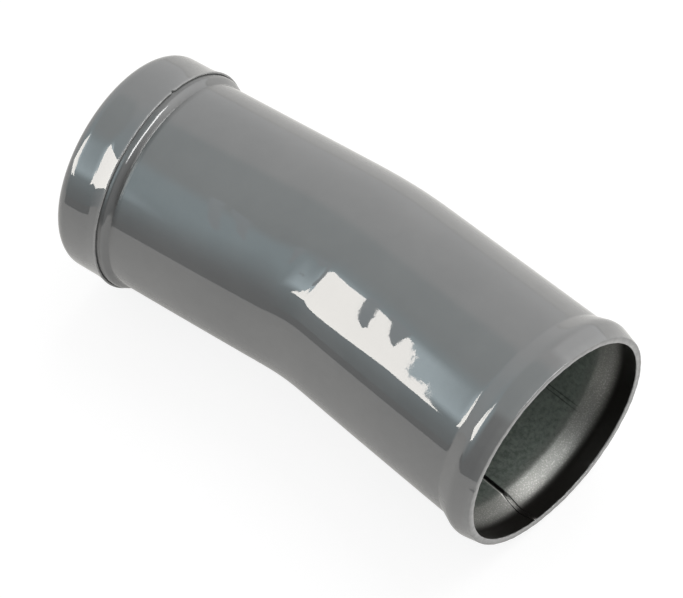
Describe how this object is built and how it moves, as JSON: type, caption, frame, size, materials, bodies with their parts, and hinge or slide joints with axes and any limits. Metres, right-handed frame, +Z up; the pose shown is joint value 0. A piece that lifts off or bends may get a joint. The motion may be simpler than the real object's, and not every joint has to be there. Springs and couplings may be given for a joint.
{
  "type": "fuel tank filler neck",
  "caption": "Short bent sheet-steel filler neck, painted grey, with a rolled hose bead at its open end and a pressed-on collar around its filler mouth.",
  "frame": {"origin": "on the ground under the middle of the neck's box, with the neck lying as it comes to rest", "axes": "+X along the middle of the bend from the collar to the hose mouth, +Z up"},
  "size_m": [0.1498, 0.0677, 0.0644],
  "materials": {
    "grey_enamel": "glossy grey enamel over sheet steel, thin and rough inside the tube"
  },
  "bodies": {
    "root": {"neck_tube": "grey_enamel", "filler_collar": "grey_enamel"}
  },
  "joints": []
}
